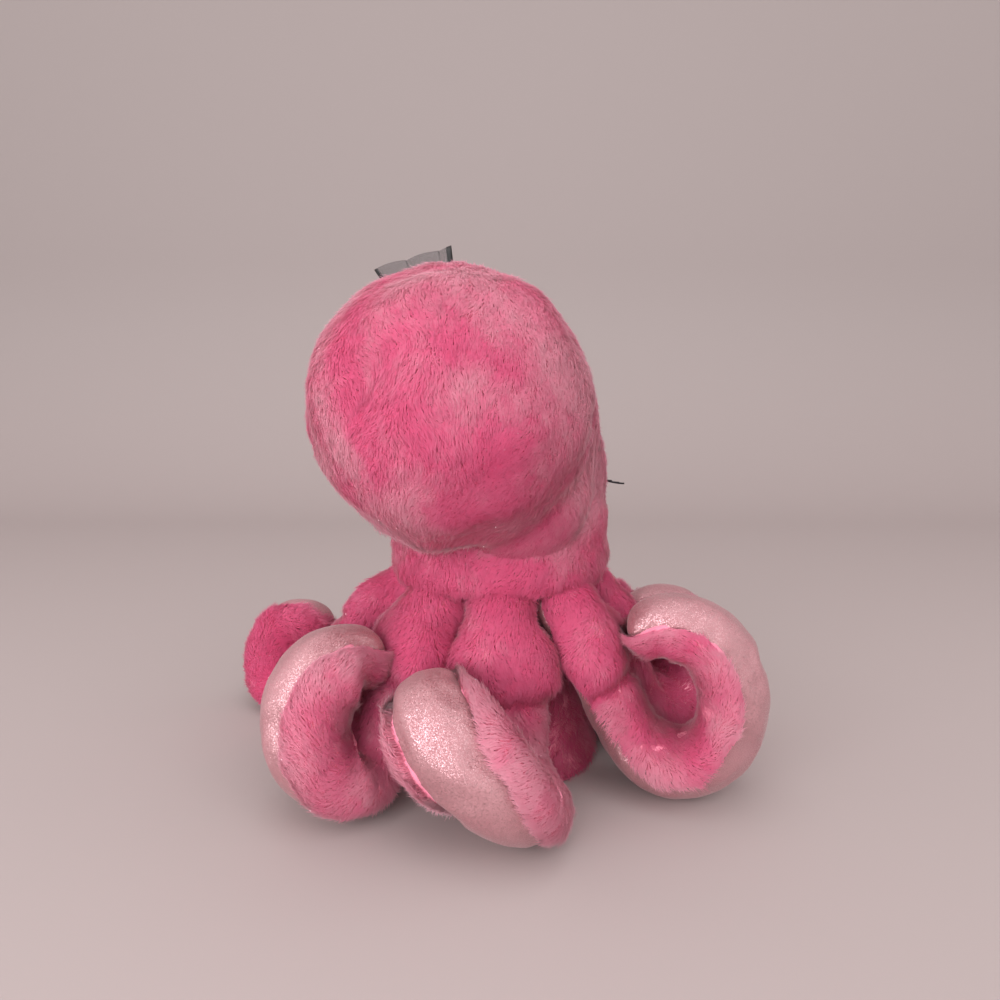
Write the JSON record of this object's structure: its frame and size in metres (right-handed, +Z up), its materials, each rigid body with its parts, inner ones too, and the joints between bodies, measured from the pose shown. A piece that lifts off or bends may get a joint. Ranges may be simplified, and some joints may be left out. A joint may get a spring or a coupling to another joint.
{
  "type": "plush octopus",
  "caption": "Stuffed octopus toy with a round leaning head, curled arms with glittery undersides, and a sheer ribbon bow.",
  "frame": {"origin": "centre of the flat underside of the base panel, on the surface that the toy sits on", "axes": "+Z up; the face looks along -Y, so the back of the head, which the picture shows, is towards +Y; the octopus's own right is -X"},
  "size_m": [0.3476, 0.281, 0.3064],
  "materials": {
    "fur": "long pile plush",
    "sole": "short velour with glitter flecks",
    "cloth": "matte knit",
    "filling": "loose fibre",
    "pellet": "matte",
    "washer": "matte",
    "eye": "polished",
    "lash": "matte",
    "ribbon": "sheer organza"
  },
  "bodies": {
    "torso": {"neck_fur": "fur", "torso_cloth": "cloth", "torso_filling": "filling", "base_panel": "cloth", "pellet_bag": "cloth", "pellets": "pellet"},
    "head": {"head_fur": "fur", "head_filling": "filling", "right_eye": "eye", "left_eye": "eye", "right_eye_washer": "washer", "left_eye_washer": "washer", "right_lashes": "lash", "left_lashes": "lash", "mouth_stitch": "lash", "bow_knot": "ribbon", "bow_back_loop": "ribbon", "bow_front_loop": "ribbon", "bow_upper_tail": "ribbon", "bow_lower_tail": "ribbon"},
    "right_arm_4": {"right_arm_4_fur": "fur", "right_arm_4_sole": "sole", "right_arm_4_filling": "filling"},
    "right_arm_3": {"right_arm_3_fur": "fur", "right_arm_3_sole": "sole", "right_arm_3_filling": "filling"},
    "right_arm_2": {"right_arm_2_fur": "fur", "right_arm_2_sole": "sole", "right_arm_2_filling": "filling"},
    "right_arm_1": {"right_arm_1_fur": "fur", "right_arm_1_sole": "sole", "right_arm_1_filling": "filling"},
    "left_arm_1": {"left_arm_1_fur": "fur", "left_arm_1_sole": "sole", "left_arm_1_filling": "filling"},
    "left_arm_2": {"left_arm_2_fur": "fur", "left_arm_2_sole": "sole", "left_arm_2_filling": "filling"},
    "left_arm_3": {"left_arm_3_fur": "fur", "left_arm_3_sole": "sole", "left_arm_3_filling": "filling"},
    "left_arm_4": {"left_arm_4_fur": "fur", "left_arm_4_sole": "sole", "left_arm_4_filling": "filling"}
  },
  "joints": [
    {"name": "head_nod", "type": "hinge", "parent": "torso", "child": "head", "pos_m": [0, 0, 0.17], "axis": [1, 0, 0], "range_deg": [0, 20], "stiffness_Nm_per_rad": 0.8},
    {"name": "right_arm_4_lift", "type": "hinge", "parent": "torso", "child": "right_arm_4", "pos_m": [-0.01913, 0.04619, 0.1], "axis": [0.8988, 0.4384, 0], "range_deg": [0, 35], "stiffness_Nm_per_rad": 0.15},
    {"name": "right_arm_3_lift", "type": "hinge", "parent": "torso", "child": "right_arm_3", "pos_m": [-0.04619, 0.01913, 0.1], "axis": [-0.0698, 0.9976, 0], "range_deg": [0, 35], "stiffness_Nm_per_rad": 0.15},
    {"name": "right_arm_2_lift", "type": "hinge", "parent": "torso", "child": "right_arm_2", "pos_m": [-0.04619, -0.01913, 0.1], "axis": [-0.766, 0.6428, 0], "range_deg": [0, 35], "stiffness_Nm_per_rad": 0.15},
    {"name": "right_arm_1_lift", "type": "hinge", "parent": "torso", "child": "right_arm_1", "pos_m": [-0.01913, -0.04619, 0.1], "axis": [-0.9903, 0.1392, 0], "range_deg": [0, 35], "stiffness_Nm_per_rad": 0.15},
    {"name": "left_arm_1_lift", "type": "hinge", "parent": "torso", "child": "left_arm_1", "pos_m": [0.01913, -0.04619, 0.1], "axis": [-0.9397, -0.342, 0], "range_deg": [0, 35], "stiffness_Nm_per_rad": 0.15},
    {"name": "left_arm_2_lift", "type": "hinge", "parent": "torso", "child": "left_arm_2", "pos_m": [0.04619, -0.01913, 0.1], "axis": [-0.6428, -0.766, 0], "range_deg": [0, 35], "stiffness_Nm_per_rad": 0.15},
    {"name": "left_arm_3_lift", "type": "hinge", "parent": "torso", "child": "left_arm_3", "pos_m": [0.04619, 0.01913, 0.1], "axis": [-0.1736, -0.9848, 0], "range_deg": [0, 12], "stiffness_Nm_per_rad": 0.15},
    {"name": "left_arm_4_lift", "type": "hinge", "parent": "torso", "child": "left_arm_4", "pos_m": [0.01913, 0.04619, 0.1], "axis": [0.7986, -0.6018, 0], "range_deg": [0, 35], "stiffness_Nm_per_rad": 0.15}
  ]
}
